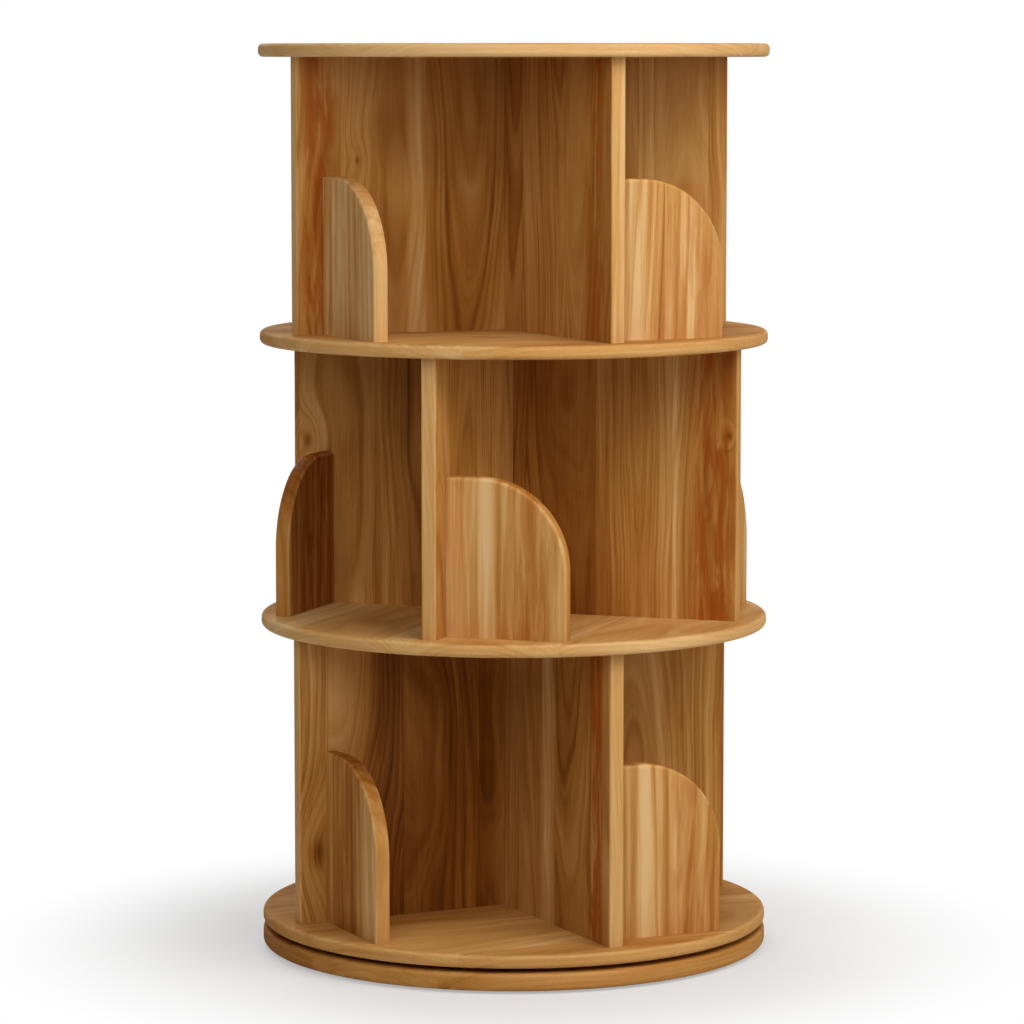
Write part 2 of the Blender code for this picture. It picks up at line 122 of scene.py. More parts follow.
# Screws. A thread's root is a share of the shank's radius, and the point is so many
# pitches long; the cross recess takes shares of the head's radius and height
PANEL_SCREW = {"head_height": 0.003, "shank": 0.002, "domed": True}
RING_SCREW = {"head_height": 0.0022, "shank": 0.0016, "domed": False}
THREAD_PITCH = 0.0018
THREAD_ROOT = 0.76
THREAD_NECK = 0.001
POINT_PITCHES = 3
HEAD_DOME = 0.0014
DOME_TURNS = (0.0, 0.4, 0.8, 1.2, QUARTER)
HEAD_LAND = 0.0003
CROSS_ARMS = 4
CROSS_ARM = 0.62
CROSS_WIDTH = 0.15
CROSS_DEPTH = 0.6
CROSS_TAPER = 0.6

# Bearing; its screws stand halfway between the axes
RING_WIDTH = 0.024
RING_EASE = 0.0005
RING_SCREWS = 4
RING_SCREW_TURN = FULL_TURN / RING_SCREWS
HOLE_CLEARANCE = 0.0003
BALL_RADIUS = 0.00225
BALL_COUNT = 10
RACE_CLEARANCE = 0.0003
CAGE_WALL = 0.0008
CAGE_HEIGHT = 0.0034

# Feet: how far their sides draw in, and the tread round a shallow dish
FOOT_COUNT = 6
FOOT_DRAFT = 0.001
FOOT_TREAD = 0.004
FOOT_DISH = 0.0004
FOOT_ROUND = 0.0004

# Sizes read from the frame
DISC_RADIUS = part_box("top_disc")[1].x
PANEL_LOW, PANEL_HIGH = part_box("top_panel_1")
STOP_LOW, STOP_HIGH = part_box("top_book_stop_1")
STOP_MIDDLE = (STOP_LOW.x + STOP_HIGH.x) / 2
CAGE_LOW, CAGE_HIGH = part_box("ball_cage")
BALL_PITCH = CAGE_HIGH.x - BALL_RADIUS
BALL_LEVEL = (CAGE_LOW.z + CAGE_HIGH.z) / 2

# Stands a lying outline on edge: its X and Y become Y and Z, and its thickness X
ON_EDGE = Matrix(((0, 0, 1, 0), (1, 0, 0, 0), (0, 1, 0, 0), (0, 0, 0, 1)))

# Woods. The axes run across the staves, through the thickness and along the grain; depth
# is measured from middle, and stave is the staves' width. Tone goes from 0, dark, to 1,
# pale; stave_share, stripe, late and glue are how far staves, stripes, late wood and glue
# lines move it, and painted_edge_light how much paler sawn edges are painted, as painted light on
# lit rims and edges, or below 0 how much darker, as painted shade. The log's heart lies
# aside and below the stave by the ranges given, sway is how far the rings wander and ring
# their width, and streaks is how fine the stripes are, in noise cells to the metre.
WOODS = {
    "panel_wood": {
        # its tone, lower than the stops' and discs', is partly darker wood and partly painted shade
        # of the tiers' insides
        "axes": (0, 1, 2), "middle": 0.0, "stave": 0.075, "tone": 0.51, "stave_share": 0.16,
        "stripe": 0.58, "late": -0.18, "glue": -0.10, "painted_edge_light": 0.26,
        "aside": (-0.055, 0.055), "below": (0.014, 0.084),
        "sway": 0.036, "ring": 0.0042, "streaks": 260.0,
    },
    "stop_wood": {
        "axes": (1, 0, 2), "middle": STOP_MIDDLE, "stave": 0.046, "tone": 0.64, "stave_share": 0.14,
        "stripe": 0.80, "late": -0.24, "glue": -0.04, "painted_edge_light": -0.10,
        "aside": (0.030, 0.110), "below": (0.005, 0.060),
        "sway": 0.012, "ring": 0.012, "streaks": 180.0,
    },
    "disc_wood": {
        "axes": (1, 2, 0), "middle": 0.0, "stave": 0.130, "tone": 0.67, "stave_share": 0.05,
        "stripe": 0.50, "late": -0.14, "glue": -0.03, "painted_edge_light": 0.10,
        "aside": (-0.020, 0.020), "below": (0.080, 0.200),
        "sway": 0.024, "ring": 0.0042, "streaks": 260.0,
    },
}
WOOD_TONES = [
    (0.00, (0.085, 0.025, 0.004)),
    (0.25, (0.240, 0.080, 0.012)),
    (0.50, (0.420, 0.178, 0.036)),
    (0.75, (0.580, 0.303, 0.095)),
    (1.00, (0.720, 0.470, 0.215)),
]
HEART_RED = (0.340, 0.070, 0.007)
HEART_SHARE = 0.75

# Figure of the pieces that show most: pale and reddish bands as place, half-width and
# strength across the piece, a knot as place across, height and size, and a lift in tone;
# a pale band of a strength below 0 is a dark one. The lifts are partly the pieces' own tone
# and partly painted light and shade, set to the light each piece stands in: the discs'
# lifts fall from the top disc to the base as a painted fall-off of the light. The dark
# bands on middle_panel_2 and bottom_panel_3 are painted shade over the inner part of
# each panel, deep in its tier.
FIGURE = {
    # discs: lifts that paint the light falling off from the top disc to the base
    "top_disc": {"lift": 0.13},
    "middle_tier_floor": {"lift": 0.10},
    "bottom_tier_floor": {"lift": -0.06},
    "base_disc": {"lift": -0.20},
    "top_panel_3": {
        "pale": (0.098, 0.010, 0.8), "heart": (0.193, 0.015, 1.0),
        "knot": (0.156, 0.154, 0.008), "lift": 0.07,
    },
    "top_panel_4": {"pale": (0.060, 0.012, 0.3), "heart": (0.184, 0.018, 0.6), "lift": 0.04},
    # the dark band is painted shade over the panel's inner part, deep in the tier
    "middle_panel_2": {"pale": (0.080, 0.085, -0.62), "knot": (0.200, 0.150, 0.016), "lift": 0.07},
    "middle_panel_4": {
        "pale": (0.150, 0.011, 0.6), "heart": (0.192, 0.020, 1.0),
        "knot": (0.207, 0.166, 0.008), "lift": -0.04,
    },
    # the dark band is painted shade over the panel's inner part, deep in the tier
    "bottom_panel_3": {"pale": (0.080, 0.085, -1.4), "knot": (0.197, 0.063, 0.030), "lift": 0.11},
    "bottom_panel_4": {"pale": (0.088, 0.009, 0.6), "heart": (0.187, 0.014, 1.0)},
    "top_book_stop_4": {"pale": (0.024, 0.006, 0.9), "heart": (0.085, 0.032, 0.32), "lift": 0.08},
    # its lift is painted light, brightening a face that the lamps leave in shade
    "top_book_stop_3": {"pale": (0.026, 0.004, 0.6), "heart": (0.055, 0.050, 0.30), "lift": 0.24},
    "middle_book_stop_2": {"heart": (0.055, 0.050, 0.7), "lift": -0.03},
    "middle_book_stop_3": {"pale": (0.041, 0.008, 1.0), "heart": (0.080, 0.022, 0.45), "lift": 0.02},
    "bottom_book_stop_4": {"pale": (0.035, 0.007, 0.9), "heart": (0.078, 0.018, 0.35), "lift": 0.01},
    "bottom_book_stop_3": {"heart": (0.050, 0.030, 0.5), "lift": -0.08},
}
NO_BAND = (0.0, 0.0, 0.0)
NO_KNOT = (9.0, 9.0, 0.02)

# Seeds of the pieces' logs: shares of a piece's number and of its kind's salt, and how
# far apart seeds and logs lie in the noise
SEED_SHARE = 0.61803
SALT_SHARE = 0.38197
PANEL_SALT = 1
STOP_SALT = 2
DISC_SALT = 3
SEED_SPREAD = 61.7
LOG_SPREAD = 13.0

# Noise in the wood, in cells to the metre across, through and along the grain
SWAY_CELLS = (11.0, 11.0, 3.4)
BROAD_CELLS = (75.0, 75.0, 75.0)
FIBRE_CELLS = (1100.0, 1100.0, 14.0)
PORE_CELLS = (2100.0, 2100.0, 40.0)
DRIFT_CELLS = (8.0, 8.0, 3.0)
TONGUE_CELLS = (95.0, 95.0, 13.0)
RING_DRIFT_CELLS = 70.0

# Forms in the wood: uneven staves with a thin glue line, a log that tapers, rings that
# drift by so many widths, knots that swell the rings and reach further along the grain,
# streaks that run with depth and along the grain, and bands that wander with the rings
STAVE_UNEVENNESS = 0.7
GLUE_LINE = 0.0005
LOG_TAPER = 0.08
RING_DRIFT = 2.2
KNOT_SWELL = 0.9
KNOT_SLIMNESS = 0.55
KNOT_CORE = 16.0
STREAK_DEPTH = 0.6
STREAK_LENGTH = 0.030
BAND_WANDER = 0.25
LEAST_BAND = 0.0001

# Late wood through a year, as place and shade, and how much of it any year shows
YEAR_SHADES = ((0.00, 0.35), (0.14, 0.0), (0.50, 0.25), (0.84, 0.95), (1.00, 0.35))
LATE_RANGE = (0.15, 1.0)

# Smooth steps: from and to, and where they aren't 0 and 1, the values at both ends
PORE_STEP = (0.62, 0.75)
TONGUE_STEP = (0.38, 0.58, 0.15, 1.0)
BAND_STEP = (0.4, 1.3, 1.0, 0.0)
GLUE_STEP = (0.0, GLUE_LINE, 1.0, 0.0)
ARRIS_STEP = (0.03, 0.24)
END_GRAIN_STEP = (0.45, 0.95)
SAWN_EDGE_STEP = (0.6, 1.0)

# Surface of the wood: the figure's loss on sawn edges, roughness and what adds to it,
# heights in the grain, a bump's strength and distance, and a thin satin lacquer
EDGE_CALM = 0.45
WOOD_ROUGHNESS = 0.40
FIBRE_ROUGHNESS = 0.14
END_GRAIN_ROUGHNESS = 0.10
LATE_HEIGHT = 0.30
FIBRE_HEIGHT = 0.6
PORE_HEIGHT = -0.8
WOOD_BUMP = (0.14, 0.0004)
LACQUER_WEIGHT = 0.08
LACQUER_ROUGHNESS = 0.30

# Metals by slot: name, colour and least roughness; lathe lines and bloom in cells to the
# metre, how far bloom goes and dulls, and the lines' share of roughness and bump
METALS = {
    "bearing_rings": ("turned_aluminium", (0.66, 0.66, 0.67), 0.24),
    "steel": ("plated_steel", (0.52, 0.50, 0.46), 0.20),
}
LATHE_CELLS = (4200.0, 4200.0, 0.0)
METAL_BLOOM_CELLS = 60.0
BLOOM_SHARE = 0.5
BLOOM_DULLNESS = 0.72
LATHE_ROUGHNESS = 0.22
METAL_BUMP = (0.08, 0.0002)

# Rubber
RUBBER_DARK = (0.018, 0.018, 0.019)
RUBBER_PALE = (0.042, 0.041, 0.040)
RUBBER_GRAIN_CELLS = 2600.0
RUBBER_BLOOM_CELLS = 90.0
RUBBER_ROUGHNESS = 0.66
RUBBER_GRAIN_ROUGHNESS = 0.18
RUBBER_BUMP = (0.25, 0.0002)

# Lamps: place to the photograph's right, back and up, size, watts and colour
LAMP_AIM = (0.0, 0.0, 0.42)
WARM_WHITE = (1.0, 0.985, 0.96)
WARMER_WHITE = (1.0, 0.98, 0.95)
LAMPS = {
    "key": ((0.95, -1.2, 2.1), 1.5, 26.0, WARM_WHITE),
    "front": ((-0.6, -2.1, 1.6), 1.5, 23.0, WARMER_WHITE),
    "side": ((2.0, -1.0, 1.2), 1.5, 19.0, WARM_WHITE),
    "back": ((-0.6, 2.2, 1.9), 1.6, 32.0, WHITE),
}
WORLD_STRENGTH = 0.05

# Floor, and the distances between which it fades, with its shares of plain white there
FLOOR_RADIUS = 6.0
FLOOR_SIDES = 96
FLOOR_DROP = 0.0004
FLOOR_COLOUR = (0.72, 0.72, 0.72)
FLOOR_ROUGHNESS = 0.9
FLOOR_SPECULAR = 0.1
FLOOR_STEP = (0.20, 0.51, 0.4, 1.0)


# Working meshes


def spun(profile, sides, ring=False):
    """Spin a profile about the upright axis and close its two ends, or join it as a ring."""
    bm = bmesh.new()
    points = [bm.verts.new((radius, 0.0, height)) for radius, height in profile]
    pairs = list(zip(points, points[1:]))
    if ring:
        pairs.append((points[-1], points[0]))
    edges = [bm.edges.new(pair) for pair in pairs]
    bmesh.ops.spin(
        bm, geom=points + edges, cent=(0, 0, 0), axis=(0, 0, 1),
        angle=FULL_TURN, steps=sides, use_merge=True,
    )
    bmesh.ops.remove_doubles(bm, verts=bm.verts, dist=SAME_POINT)
    if not ring:
        bmesh.ops.holes_fill(bm, edges=[edge for edge in bm.edges if edge.is_boundary])
    bmesh.ops.recalc_face_normals(bm, faces=bm.faces)
    return bm


def drawn(outline, low, high, taper=1.0):
    """Draw an outline in X and Y up from low to high, its far end scaled by a taper."""
    bm = bmesh.new()
    base = bm.faces.new([bm.verts.new((x, y, low)) for x, y in outline])
    lifted = bmesh.ops.extrude_face_region(bm, geom=[base], use_keep_orig=True)
    for item in lifted["geom"]:
        if isinstance(item, bmesh.types.BMVert):
            item.co = (item.co.x * taper, item.co.y * taper, high)
    bmesh.ops.recalc_face_normals(bm, faces=bm.faces)
    return bm


def arc(centre, radius, first, last, steps):
    """Points on a circle, with both ends."""
    turns = [first + (last - first) * step / steps for step in range(steps + 1)]
    return [(centre[0] + radius * math.cos(t), centre[1] + radius * math.sin(t)) for t in turns]


def plain_mesh(name, bm):
    """A mesh made from a working mesh, which is freed."""
    mesh = bpy.data.meshes.new(name)
    bm.to_mesh(mesh)
    bm.free()
    return mesh


def smooth(mesh):
    """Shade rounded faces smooth and large ones flat."""
    mesh.shade_smooth()
    mesh.set_sharp_from_angle(angle=SHARP_ANGLE)
    for face in mesh.polygons:
        face.use_smooth = face.area < FLAT_AREA
    return mesh


def smooth_mesh(name, bm):
    """A finished mesh made from a working mesh."""
    return smooth(plain_mesh(name, bm))


def join(bm, other):
    """Add a second working mesh to the first."""
    part = plain_mesh("part", other)
    bm.from_mesh(part)
    bpy.data.meshes.remove(part)


def show(name, data):
    """A new object in the scene."""
    item = bpy.data.objects.new(name, data)
    bpy.context.scene.collection.objects.link(item)
    return item


def cut(mesh, tool, operation="DIFFERENCE"):
    """The mesh with a working mesh cut out of it, or fused to it by a UNION."""
    body = show("body", mesh)
    cutter = show("cutter", plain_mesh("tool", tool))
    boolean = body.modifiers.new("cut", "BOOLEAN")
    boolean.solver = "EXACT"
    boolean.operation = operation
    boolean.object = cutter
    graph = bpy.context.evaluated_depsgraph_get()
    result = bpy.data.meshes.new_from_object(body.evaluated_get(graph))
    for item in (body, cutter):
        bpy.data.objects.remove(item, do_unlink=True)
    bm = bmesh.new()
    bm.from_mesh(result)
    bmesh.ops.dissolve_degenerate(bm, edges=bm.edges, dist=SLIVER)
    bm.to_mesh(result)
    bm.free()
    return smooth(result)


def at(turn, radius, height=0.0):
    """A place at a turn about the axis, a radius and a height."""
    return Matrix.Rotation(turn, 4, "Z") @ Matrix.Translation((radius, 0.0, height))


def over(node, height):
    """A place on the upright line through a node's middle, at a height."""
    low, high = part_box(node)
    middle = (low + high) / 2
    return Matrix.Translation((middle.x, middle.y, height))


def top_of(node):
    """The height of a node's top."""
    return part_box(node)[1].z


def underside_of(node):
    """The height of a node's underside."""
    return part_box(node)[0].z


def moved(bm, spot):
    """The working mesh moved to a spot."""
    bm.transform(spot)
    bm.normal_update()
    return bm


# Material graphs


class Graph:
    """Shorthand for wiring a material's nodes."""

    # Places of the colour sockets on a Mix node
    MIX_INPUTS = (6, 7)
    MIX_OUTPUT = 2

    def __init__(self, name):
        self.material = bpy.data.materials.new(name)
        self.material.use_nodes = True
        self.nodes = self.material.node_tree.nodes
        self.links = self.material.node_tree.links
        self.shader = self.nodes["Principled BSDF"]

    def put(self, socket, value):
        """Link a socket to another, or set its value."""
        if isinstance(value, bpy.types.NodeSocket):
            self.links.new(value, socket)
        else:
            socket.default_value = value

    def node(self, kind, inputs=(), **settings):
        """A new node with its settings and inputs."""
        made = self.nodes.new(kind)
        for key, value in settings.items():
            setattr(made, key, value)
        for key, value in dict(inputs).items():
            self.put(made.inputs[key], value)
        return made

    def math(self, operation, *values):
        made = self.node("ShaderNodeMath", operation=operation)
        for socket, value in zip(made.inputs, values):
            self.put(socket, value)
        return made.outputs[0]

    def plus(self, one, two):
        return self.math("ADD", one, two)

    def minus(self, one, two):
        return self.math("SUBTRACT", one, two)

    def product(self, one, two):
        return self.math("MULTIPLY", one, two)

    def ratio(self, one, two):
        return self.math("DIVIDE", one, two)

    def weighted(self, value, weight, base):
        """A value times its weight, added to a base."""
        return self.math("MULTIPLY_ADD", value, weight, base)

    def centred(self, value):
        """A value from 0 to 1 moved to lie about 0."""
        return self.minus(value, 0.5)

    def between(self, value, ends):
        """A value from 0 to 1 spread between two ends."""
        return self.weighted(value, ends[1] - ends[0], ends[0])

    def tally(self, total, parts, shares):
        """A total with parts added, each less its usual middle and by its share."""
        for name, value in parts.items():
            middle, share = shares[name]
            total = self.weighted(self.minus(value, middle), share, total)
        return total

    def length(self, one, two):
        """The length of the long side over two sides at right angles."""
        return self.math("SQRT", self.weighted(one, one, self.product(two, two)))

    def vector(self, x, y, z):
        return self.node("ShaderNodeCombineXYZ", {"X": x, "Y": y, "Z": z}).outputs[0]

    def split(self, value):
        return self.node("ShaderNodeSeparateXYZ", {"Vector": value}).outputs

    def turned(self, place, angle):
        """Coordinates turned about the upright axis."""
        inputs = {"Vector": place, "Angle": angle}
        return self.node("ShaderNodeVectorRotate", inputs, rotation_type="Z_AXIS").outputs[0]

    def noise(self, place, scale=1.0, detail=2.0, roughness=0.5, distortion=0.0):
        return self.node("ShaderNodeTexNoise", {
            "Vector": place, "Scale": scale, "Detail": detail,
            "Roughness": roughness, "Distortion": distortion,
        }).outputs["Fac"]

    def grain(self, place, cells, shift, **settings):
        """Noise with so many cells to the metre on each axis, slid by a shift."""
        parts = [self.weighted(part, by, shift) for part, by in zip(self.split(place), cells)]
        return self.noise(self.vector(*parts), **settings)

    def step(self, value, low, high, start=0.0, end=1.0):
        """A smooth step from start to end as the value goes from low to high."""
        return self.node("ShaderNodeMapRange", {
            "Value": value, "From Min": low, "From Max": high, "To Min": start, "To Max": end,
        }, interpolation_type="SMOOTHSTEP").outputs["Result"]

    def mix(self, amount, one, two):
        made = self.node("ShaderNodeMix", {"Factor": amount}, data_type="RGBA")
        for index, value in zip(self.MIX_INPUTS, (one, two)):
            self.put(made.inputs[index], value)
        return made.outputs[self.MIX_OUTPUT]

    def ramp(self, value, stops, interpolation="LINEAR"):
        made = self.node("ShaderNodeValToRGB", {"Fac": value})
        made.color_ramp.interpolation = interpolation
        elements = made.color_ramp.elements
        while len(elements) < len(stops):
            elements.new(0.5)
        for element, (position, colour) in zip(elements, stops):
            element.position = position
            element.color = (*colour, 1.0)
        return made.outputs["Color"]

    def attribute(self, name, output="Fac"):
        return self.node("ShaderNodeAttribute", attribute_name=name).outputs[output]

    def bump(self, height, strength, distance):
        return self.node("ShaderNodeBump", {
            "Height": height, "Strength": strength, "Distance": distance,
        }).outputs["Normal"]

    def surface(self, colour, roughness, normal):
        """Wire what the shader varies over the surface."""
        for name, value in (("Base Color", colour), ("Roughness", roughness), ("Normal", normal)):
            self.put(self.shader.inputs[name], value)

    def constants(self, values):
        """Set what the shader keeps the same all over."""
        for name, value in values.items():
            self.shader.inputs[name].default_value = value


def staves(g, across, width, seed):
    """Edge-glued staves: three chance values for each, the place in it, and glue lines."""
    lane = g.plus(g.ratio(across, width), seed)
    lanes = {"W": lane, "Scale": 1.0, "Randomness": STAVE_UNEVENNESS}
    cell = g.node("ShaderNodeTexVoronoi", lanes, voronoi_dimensions="1D")
    joint = g.node(
        "ShaderNodeTexVoronoi", lanes, voronoi_dimensions="1D", feature="DISTANCE_TO_EDGE",
    )
    luck = g.split(cell.outputs["Color"])
    in_stave = g.product(g.minus(lane, cell.outputs["W"]), width)
    glue = g.step(g.product(joint.outputs["Distance"], width), *GLUE_STEP)
    return luck, in_stave, glue


def pith_distance(g, kind, luck, in_stave, depth, along):
    """How far a point of a stave lies from the heart of its log, which tapers."""
    aside = g.plus(in_stave, g.between(luck[0], kind["aside"]))
    below = g.plus(depth, g.between(luck[1], kind["below"]))
    taper = g.product(along, g.product(g.centred(luck[2]), LOG_TAPER))
    return g.plus(g.length(aside, below), taper)


def knot_swirl(g, across, along):
    """How near a point is to the piece's knot: a wide swell and a dark core."""
    knot = g.split(g.attribute("knot", "Vector"))
    sideways = g.minus(across, knot[0])
    upward = g.product(g.minus(along, knot[1]), KNOT_SLIMNESS)
    spread = g.weighted(sideways, sideways, g.product(upward, upward))
    reach = g.ratio(spread, g.product(knot[2], knot[2]))
    swell = g.math("POWER", math.e, g.product(reach, -1.0))
    core = g.math("POWER", math.e, g.product(reach, -KNOT_CORE))
    return g.product(swell, knot[2]), core


def growth_rings(g, radius, log, width):
    """The dark late wood of each year's ring, some rings fainter than others."""
    drift = g.product(g.noise(g.vector(radius, log, 0.0), RING_DRIFT_CELLS), RING_DRIFT)
    rings = g.plus(drift, g.ratio(radius, width))
    year = g.plus(g.math("FLOOR", rings), log)
    luck = g.node("ShaderNodeTexWhiteNoise", {"W": year}, noise_dimensions="1D").outputs["Value"]
    shades = [(spot, (shade,) * 3) for spot, shade in YEAR_SHADES]
    late = g.ramp(g.math("FRACT", rings), shades, "EASE")
    return g.product(late, g.between(luck, LATE_RANGE))


def colour_band(g, across, wander, name):
    """A band's strength inside it, as the piece's mesh gives it, fading to nought outside."""
    band = g.split(g.attribute(name, "Vector"))
    off = g.math("ABSOLUTE", g.plus(g.minus(across, band[0]), wander))
    inside = g.step(g.ratio(off, g.math("MAXIMUM", band[1], LEAST_BAND)), *BAND_STEP)
    return g.product(inside, band[2])


def sawn_faces(g, through, along):
    """How far a surface is sawn edge, eased arris and end grain, from its normal's parts."""
    flat = g.math("ABSOLUTE", through)
    upright = g.math("SQRT", g.math("MAXIMUM", g.minus(1.0, g.product(flat, flat)), 0.0))
    edge = g.step(upright, *SAWN_EDGE_STEP)
    arris = g.step(g.minus(1.0, g.math("MAXIMUM", flat, upright)), *ARRIS_STEP)
    end_grain = g.step(g.math("ABSOLUTE", along), *END_GRAIN_STEP)
    return edge, arris, end_grain


def tone_shares(kind):
    """What moves a wood's tone: each thing's usual middle and its share."""
    return {
        "broad": (0.5, 0.62), "streak": (0.5, kind["stripe"]), "late": (0.35, kind["late"]),
        "stave": (0.5, kind["stave_share"]), "drift": (0.5, 0.34), "fibre": (0.5, 0.26),
        "pores": (0.1, -0.10), "pale": (0.0, 0.30), "flame": (0.0, -0.17), "core": (0.0, -0.34),
        # arris makes eased arrises paler, partly as wear and partly as a painted highlight
        "glue": (0.0, kind["glue"]), "arris": (0.0, 0.09), "end_grain": (0.0, -0.07),
        # edge paints light on sawn edges, and painted shade where its share is below 0
        "edge": (0.0, kind["painted_edge_light"]),
    }


def wood(name):
    """Edge-glued solid wood under satin lacquer.

    Each stave is sawn from its own place in a log: growth rings are distances from the
    log's pith, bent by slow noise and by knots, so faces, edges and end grain agree.
    Colour comes from one scale of tone, from dark streaks to pale sapwood, and carries
    painted light and shade as well.
    """
    kind = WOODS[name]
    wide, deep, long = kind["axes"]
    g = Graph(name)
    coordinates = g.node("ShaderNodeTexCoord")
    place = g.split(g.turned(coordinates.outputs["Object"], g.attribute("turn")))
    normal = g.split(g.turned(coordinates.outputs["Normal"], g.attribute("turn")))
    across, along = place[wide], place[long]
    depth = g.minus(place[deep], kind["middle"])
    grain = g.vector(across, depth, along)
    seed = g.product(g.attribute("seed"), SEED_SPREAD)

    # Rings of each stave's own log, bent by slow noise and round a knot
    luck, in_stave, glue = staves(g, across, kind["stave"], seed)
    log = g.weighted(luck[0], LOG_SPREAD, seed)
    sway = g.centred(g.grain(grain, SWAY_CELLS, log, roughness=0.45))
    sway = g.product(sway, kind["sway"])
    swell, core = knot_swirl(g, across, along)
    radius = g.plus(pith_distance(g, kind, luck, in_stave, depth, along), sway)
    radius = g.weighted(swell, KNOT_SWELL, radius)
    late = growth_rings(g, radius, log, kind["ring"])

    # Streaks that follow the rings, fibres, pores and slow drifts of colour
    flow = g.vector(radius, g.product(depth, STREAK_DEPTH), g.product(along, STREAK_LENGTH))
    broad = g.grain(flow, BROAD_CELLS, log)
    streak = g.grain(flow, (kind["streaks"],) * 3, log, detail=3.0, roughness=0.6)
    fibre = g.grain(grain, FIBRE_CELLS, seed, detail=3.0, roughness=0.65)
    pores = g.step(g.grain(grain, PORE_CELLS, seed, detail=1.0), *PORE_STEP)
    pores = g.product(pores, g.minus(1.0, late))
    drift = g.grain(grain, DRIFT_CELLS, seed)
    tongues = g.grain(grain, TONGUE_CELLS, seed, detail=3.0, roughness=0.6, distortion=0.6)

    # Bands of sapwood and reddish heartwood; a sapwood band below 0 is dark, which on two
    # panels is painted shade
    wander = g.product(sway, BAND_WANDER)
    pale = colour_band(g, across, wander, "pale")
    flame = g.product(colour_band(g, across, wander, "heart"), g.step(tongues, *TONGUE_STEP))

    # Tone, the figure calmer on sawn edges than on faces; the lift, sawn edges and arrises
    # also carry painted light and shade
    edge, arris, end_grain = sawn_faces(g, normal[deep], normal[long])
    shares = tone_shares(kind)
    figure = g.tally(0.0, {"broad": broad, "streak": streak, "late": late}, shares)
    tone = g.tally(g.plus(g.attribute("lift"), kind["tone"]), {
        "stave": luck[2], "drift": drift, "fibre": fibre, "pores": pores, "pale": pale,
        "flame": flame, "core": core, "glue": glue, "arris": arris, "end_grain": end_grain,
        "edge": edge,
    }, shares)
    tone = g.weighted(figure, g.weighted(edge, -EDGE_CALM, 1.0), tone)

    # Surface
    colour = g.mix(g.product(flame, HEART_SHARE), g.ramp(tone, WOOD_TONES), (*HEART_RED, 1.0))
    roughness = g.weighted(end_grain, END_GRAIN_ROUGHNESS, WOOD_ROUGHNESS)
    roughness = g.weighted(fibre, FIBRE_ROUGHNESS, roughness)
    height = g.weighted(pores, PORE_HEIGHT, g.product(fibre, FIBRE_HEIGHT))
    height = g.weighted(late, LATE_HEIGHT, height)
    g.surface(colour, roughness, g.bump(height, *WOOD_BUMP))
    g.constants({
        "Specular IOR Level": 0.0,
        "Coat Weight": LACQUER_WEIGHT,
        "Coat Roughness": LACQUER_ROUGHNESS,
    })
    return g.material


def turned_metal(name, colour, least_roughness):
    """Bare metal with fine lathe lines round the axis and a slight bloom."""
    g = Graph(name)
    spot = g.node("ShaderNodeTexCoord").outputs["Object"]
    place = g.split(spot)
    lathe = g.vector(g.length(place[0], place[1]), place[2], 0.0)
    lines = g.grain(lathe, LATHE_CELLS, 0.0, detail=3.0, roughness=0.7)
    bloom = g.product(g.noise(spot, METAL_BLOOM_CELLS, detail=3.0), BLOOM_SHARE)
    dull = [part * BLOOM_DULLNESS for part in colour]
    g.surface(
        g.mix(bloom, (*colour, 1.0), (*dull, 1.0)),
        g.weighted(lines, LATHE_ROUGHNESS, least_roughness),
        g.bump(lines, *METAL_BUMP),
    )
    g.constants({"Metallic": 1.0})
    return g.material


def rubber(name):
    """Matt black rubber with a fine moulded grain."""
    g = Graph(name)
    place = g.node("ShaderNodeTexCoord").outputs["Object"]
    grain = g.noise(place, RUBBER_GRAIN_CELLS)
    bloom = g.noise(place, RUBBER_BLOOM_CELLS, detail=3.0)
    g.surface(
        g.mix(bloom, (*RUBBER_DARK, 1.0), (*RUBBER_PALE, 1.0)),
        g.weighted(grain, RUBBER_GRAIN_ROUGHNESS, RUBBER_ROUGHNESS),
        g.bump(grain, *RUBBER_BUMP),
    )
    return g.material


FINISHES = {name: wood(name) for name in WOODS}
FINISHES.update({slot: turned_metal(*metal) for slot, metal in METALS.items()})
FINISHES["rubber"] = rubber("black_rubber")


# Pieces


def add_piece(node, mesh, body, slot, spot):
    """Show a finer mesh in place of a CAD node, on the body that carries it."""
    piece = show(f"{node}_{slot}", mesh)
    mesh.materials.clear()
    mesh.materials.append(FINISHES[slot])
    piece.matrix_world = spot
    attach(piece, body)
    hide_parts(node)


def mark_wood(mesh, node, seed, turn=0.0):
    """Store what the wood material reads: the log's seed, its turn, tone, bands and a knot."""
    count = len(mesh.vertices)
    figure = FIGURE.get(node, {})
    # the lift is partly the piece's own tone and partly painted light and shade
    for name, number in (("seed", seed), ("turn", -turn), ("lift", figure.get("lift", 0.0))):
        mesh.attributes.new(name, "FLOAT", "POINT").data.foreach_set("value", [number] * count)
    for name, none in (("pale", NO_BAND), ("heart", NO_BAND), ("knot", NO_KNOT)):
        values = list(figure.get(name, none)) * count
        mesh.attributes.new(name, "FLOAT_VECTOR", "POINT").data.foreach_set("vector", values)


def chance(index, salt):
    """A fixed number from 0 to 1 for each piece."""
    return (index * SEED_SHARE + salt * SALT_SHARE) % 1.0


def hole(radius, depth):
    """A cutter for a round hole that goes up from an underside, its mouth eased."""
    wide = radius + SINK_EASE
    profile = [(wide, -OVERSHOOT), (wide, 0.0), (radius, SINK_EASE), (radius, depth)]
    return spun(profile, SINK_SIDES)


